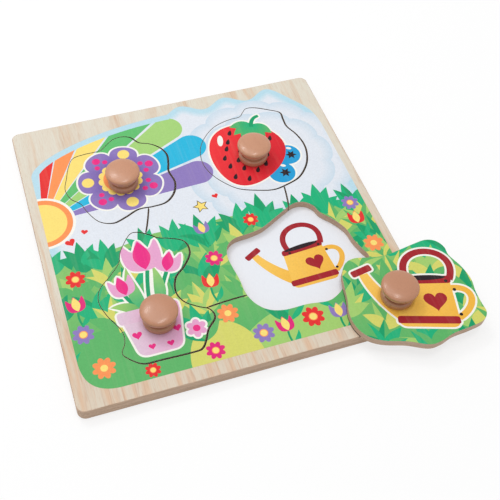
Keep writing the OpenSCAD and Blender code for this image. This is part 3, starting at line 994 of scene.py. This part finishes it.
def can_picture(inks):
    """A yellow watering can with dark red bands, a long spout and a bowed handle."""
    picture = Design(inks)
    picture.add(ribbon([(60, -86), (45, -76), (31, -60), (22, -44)], 16, 7.5), "can_deep", "can",
                (54, -88), (32, -56))
    rose = rounded([(-9.5, -3.2, 2), (9.5, -3.2, 2), (9.5, 3.2, 2), (-9.5, 3.2, 2)], 6)
    picture.add(turned(rose, 0.5) + (20.5, -41), "can_band")
    picture.add(ribbon([(58, -48), (60, -28), (77, -15), (93, -27), (94, -46)], 6), "can_band")
    picture.add(ribbon([(94, -55), (108, -58), (109, -70), (97, -84)], 5.6), "can_deep")
    picture.add(rounded([(51, -48, 6), (94, -45, 6), (98, -93, 8), (47, -94, 8)], 10), "can", "can_deep",
                (50, -60), (100, -84))
    picture.add(rounded([(50, -46, 3), (94.5, -42.5, 3), (95.5, -50, 3), (49.5, -53, 3)], 6), "can_band")
    picture.add(oval((72, -45.6), 19, 2.6, 0.08, 36), "seed")
    foot_band = rounded([(46.5, -84, 2.5), (97.5, -82.5, 2.5), (98.2, -89.5, 2.5), (46.3, -91, 2.5)], 6)
    picture.add(foot_band, "can_band")
    picture.add(heart((80, -68), 20, 0.1), "can_band")
    for rivet in ((97, -56.5), (99, -80.5), (58, -50.5), (91, -48)):
        picture.dot(rivet, 1.5, "seed", 14)
    return picture


PICTURES = {"flower": flower_picture, "strawberry": strawberry_picture, "flowerpot": flowerpot_picture,
            "watering_can": can_picture}


# Printing and the steps

def background(scene):
    """The design that is printed over the whole board before the pieces are sawn out."""
    design = Design(scene.puzzle_inks)
    area = printed_area()
    sky(design, area)
    sunburst(design, area)
    meadow(design, scene.puzzle_print)
    small_flowers(design)
    return design


def place_print(mesh, body, level, settings):
    """Lays a printed mesh on a level, gives it its ink's thickness, and lets it ride on a body."""
    mesh.transform(Matrix.Translation((0, 0, level + settings.ink_rise)))
    mesh.materials.append(bpy.data.materials.get("puzzle_ink") or ink_finish(bpy.context.scene.puzzle_inks))
    piece = into_scene(mesh)
    body_of_ink = piece.modifiers.new("ink body", "SOLIDIFY")
    body_of_ink.thickness = settings.ink_body
    body_of_ink.offset = -1
    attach(piece, body)
    return piece


class PUZZLE_OT_boards(Operator):
    """Finishes the frame board and the backing board as sanded wood with sawn edges."""

    bl_idname = "puzzle.boards"
    bl_label = "Finish the boards"

    def execute(self, context):
        woods = context.scene.puzzle_woods
        dress("frame_board", board_finish(woods, "puzzle_board_wood", woods.cut_depth))
        dress("backing_board", board_finish(woods, "puzzle_backing_wood"))
        soften("frame_board", woods.edge_softness)
        return {"FINISHED"}


class PUZZLE_OT_sheet(Operator):
    """Finishes the picture sheet as white paper and prints a small picture in each opening."""

    bl_idname = "puzzle.sheet"
    bl_label = "Print the picture sheet"

    def execute(self, context):
        scene = context.scene
        settings = scene.puzzle_print
        dress("picture_sheet", paper_finish(scene.puzzle_woods))
        for piece in PIECES:
            picture = PICTURES[piece](scene.puzzle_inks)
            points = np.concatenate(picture.outlines())
            centre = (points.min(0) + points.max(0)) / 2
            small = picture.moved(centre, settings.floor_share)
            size = np.ptp(points, axis=0).max()
            mesh = printed_mesh(piece + "_floor_picture", small, oval(centre, size, size))
            place_print(mesh, "board", PAPER_LEVEL, settings)
        return {"FINISHED"}


class PUZZLE_OT_board_print(Operator):
    """Prints the scene on the frame board, clear of its openings and saw cuts."""

    bl_idname = "puzzle.board_print"
    bl_label = "Print the board"

    def execute(self, context):
        scene = context.scene
        settings = scene.puzzle_print
        holes = face_outlines("frame_board", TOP)[1:]
        design = background(scene)
        # Painted shade: a near-black band round each linking cut on the print widens the cut's dark line
        for cut in linking_cuts(holes[0], [seat_outline(piece, settings) for piece in PIECES]):
            design.add(grown(cut, settings.link_burn / MM), "gap_shade")
        holes = [grown(line, settings.trim / MM) for line in holes]
        mesh = printed_mesh("board_print", design, printed_area(), holes)
        place_print(mesh, "board", TOP, settings)
        return {"FINISHED"}


class PUZZLE_OT_pieces(Operator):
    """Finishes the four sawn pieces and prints each with its picture over the scene."""

    bl_idname = "puzzle.pieces"
    bl_label = "Print the pieces"

    def execute(self, context):
        scene = context.scene
        settings, woods = scene.puzzle_print, scene.puzzle_woods
        wood = board_finish(woods, "puzzle_piece_wood", woods.cut_depth)
        ground = background(scene)
        for piece in PIECES:
            node = piece + "_piece"
            dress(node, wood)
            soften(node, woods.edge_softness)
            design = Design(scene.puzzle_inks).then(ground)
            design.with_halo(PICTURES[piece](scene.puzzle_inks), settings.halo / MM)
            edge = grown(seat_outline(piece, settings), -settings.trim / MM)
            if piece == LOOSE:
                mesh = printed_mesh(piece + "_print", design, edge)
                mesh.transform(self.way_out(settings))
            else:
                # Painted shade: ink past this shifted outline, on the right and front, is near black like a
                # wide saw gap's shadow
                unshaded = edge + np.array([-1, 1]) * getattr(settings, piece + "_burn") / MM
                mesh = printed_mesh(piece + "_print", design, edge, unshaded=unshaded)
            place_print(mesh, piece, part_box(node)[1].z, settings)
        return {"FINISHED"}

    def way_out(self, settings):
        """The move from the loose piece's seat to the place where it lies, with its turn."""
        seat = Vector((*settings.can_seat, 0))
        lie = Vector((*knob_centre(LOOSE) * MM, 0))
        return (Matrix.Translation(lie) @ Matrix.Rotation(settings.loose_turn, 4, "Z")
                @ Matrix.Translation(-seat))


class PUZZLE_OT_knobs(Operator):
    """Turns the four knobs on their own places and lacquers them."""

    bl_idname = "puzzle.knobs"
    bl_label = "Turn the knobs"

    def execute(self, context):
        knob = context.scene.puzzle_knob
        wood = knob_finish(context.scene.puzzle_woods)
        for piece in PIECES:
            foot = np.array([*knob_centre(piece) * MM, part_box(piece + "_knob")[0].z])
            mesh = lathe(piece + "_turned_knob", knob_profile(knob), foot, knob.sides)
            mesh.materials.append(wood)
            turned_knob = into_scene(mesh)
            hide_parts(piece + "_knob")
            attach(turned_knob, piece)
        return {"FINISHED"}


class PUZZLE_OT_screws(Operator):
    """Finishes the screws that hold the knobs from beneath."""

    bl_idname = "puzzle.screws"
    bl_label = "Finish the screws"

    def execute(self, context):
        steel = steel_finish(context.scene.puzzle_woods)
        for piece in PIECES:
            dress(piece + "_screw", steel)
        return {"FINISHED"}


def seen_ray(tree):
    """One for a ray that shows what it meets: the camera's own, a mirrored one or one through glass."""
    rays = wire(tree, "ShaderNodeLightPath").outputs
    direct = worked(tree, "MAXIMUM", rays["Is Camera Ray"], rays["Is Glossy Ray"])
    return worked(tree, "MAXIMUM", direct, rays["Is Transmission Ray"])


class PUZZLE_OT_stage(Operator):
    """Sets up the pale floor, the soft lights, the world and the camera."""

    bl_idname = "puzzle.stage"
    bl_label = "Set up the stage"

    def execute(self, context):
        scene = context.scene
        stage = scene.puzzle_stage
        self.make_floor(stage)
        self.make_lights(scene, stage)
        self.make_camera(scene, stage)
        scene.view_settings.view_transform = "Standard"
        return {"FINISHED"}

    def make_floor(self, stage):
        """A wide flat floor that looks near white and still takes the puzzle's shadow."""
        mesh = bpy.data.meshes.new("floor")
        corners = FLOOR_HALF * np.array([(-1, -1, 0), (1, -1, 0), (1, 1, 0), (-1, 1, 0)])
        mesh.from_pydata(corners, [], [(0, 1, 2, 3)])
        material, tree, shader, at = finish("stage_floor", 0.9, specular=0.1)
        shader.inputs["Base Color"].default_value = (*stage.floor, 1)
        away = wire(tree, "ShaderNodeVectorMath", {0: at["Object"]}, operation="LENGTH").outputs["Value"]
        plain = ranged(tree, away, stage.clear_from, stage.clear_to, stage.white_share, 1.0)
        white = wire(tree, "ShaderNodeEmission", {"Color": (1, 1, 1, 1), "Strength": 1.0}).outputs[0]
        share = worked(tree, "MULTIPLY", seen_ray(tree), plain)
        mix = wire(tree, "ShaderNodeMixShader", {0: share, 1: shader.outputs[0], 2: white}).outputs[0]
        tree.links.new(mix, tree.nodes["Material Output"].inputs["Surface"])
        mesh.materials.append(material)
        into_scene(mesh)

    def make_lights(self, scene, stage):
        """A wide light overhead, two small ones for the knobs' gleam, and an even world."""
        for name, (place, size) in LIGHTS.items():
            data = bpy.data.lights.new(name, "AREA")
            data.shape = "RECTANGLE"
            data.size, data.size_y = size
            data.energy = getattr(stage, name)
            light = into_scene(data)
            light.location = place
            light.rotation_euler = (-Vector(place)).to_track_quat("-Z", "Y").to_euler()
        world = bpy.data.worlds.new("studio")
        world.use_nodes = True
        tree = world.node_tree
        sky_light = tree.nodes["Background"]
        sky_light.inputs["Color"].default_value = (1, 1, 1, 1)
        tree.links.new(ranged(tree, seen_ray(tree), 0, 1, stage.world, 1.0), sky_light.inputs["Strength"])
        scene.world = world

    def make_camera(self, scene, stage):
        """A camera turned about +Z by its azimuth, tipped by its elevation and rolled, at its place."""
        data = bpy.data.cameras.new("camera")
        data.lens, data.sensor_width = stage.focal, SENSOR
        data.shift_x, data.shift_y = stage.shift_x, stage.shift_y
        camera = into_scene(data)
        camera.matrix_world = (Matrix.Translation(stage.place) @ Matrix.Rotation(-stage.azimuth, 4, "Z")
                               @ Matrix.Rotation(math.pi / 2 - stage.elevation, 4, "X")
                               @ Matrix.Rotation(stage.roll, 4, "Z"))
        scene.camera = camera


class PUZZLE_PT_panel(Panel):
    """Lists the steps that finish the puzzle."""

    bl_label = "Peg puzzle"
    bl_idname = "PUZZLE_PT_panel"
    bl_space_type = "VIEW_3D"
    bl_region_type = "UI"
    bl_category = "Puzzle"

    def draw(self, context):
        for step in STEPS:
            self.layout.operator(step.bl_idname)


# What the panel lists and what is registered

STEPS = (PUZZLE_OT_boards, PUZZLE_OT_sheet, PUZZLE_OT_board_print, PUZZLE_OT_pieces, PUZZLE_OT_knobs,
         PUZZLE_OT_screws, PUZZLE_OT_stage)
GROUPS = {"puzzle_inks": PuzzleInks, "puzzle_woods": PuzzleWoods, "puzzle_knob": PuzzleKnob,
          "puzzle_print": PuzzlePrint, "puzzle_stage": PuzzleStage}


def register():
    """Registers the property groups, the steps and the panel."""
    for group in GROUPS.values():
        bpy.utils.register_class(group)
    for name, group in GROUPS.items():
        setattr(bpy.types.Scene, name, PointerProperty(type=group))
    for step in (*STEPS, PUZZLE_PT_panel):
        bpy.utils.register_class(step)


def unregister():
    """Takes all of them out again, in the opposite order."""
    for step in (PUZZLE_PT_panel, *reversed(STEPS)):
        bpy.utils.unregister_class(step)
    for name in GROUPS:
        delattr(bpy.types.Scene, name)
    for group in reversed(GROUPS.values()):
        bpy.utils.unregister_class(group)


def main():
    register()
    bpy.ops.puzzle.boards()
    bpy.ops.puzzle.sheet()
    bpy.ops.puzzle.board_print()
    bpy.ops.puzzle.pieces()
    bpy.ops.puzzle.knobs()
    bpy.ops.puzzle.screws()
    bpy.ops.puzzle.stage()


if __name__ == "__main__":
    main()
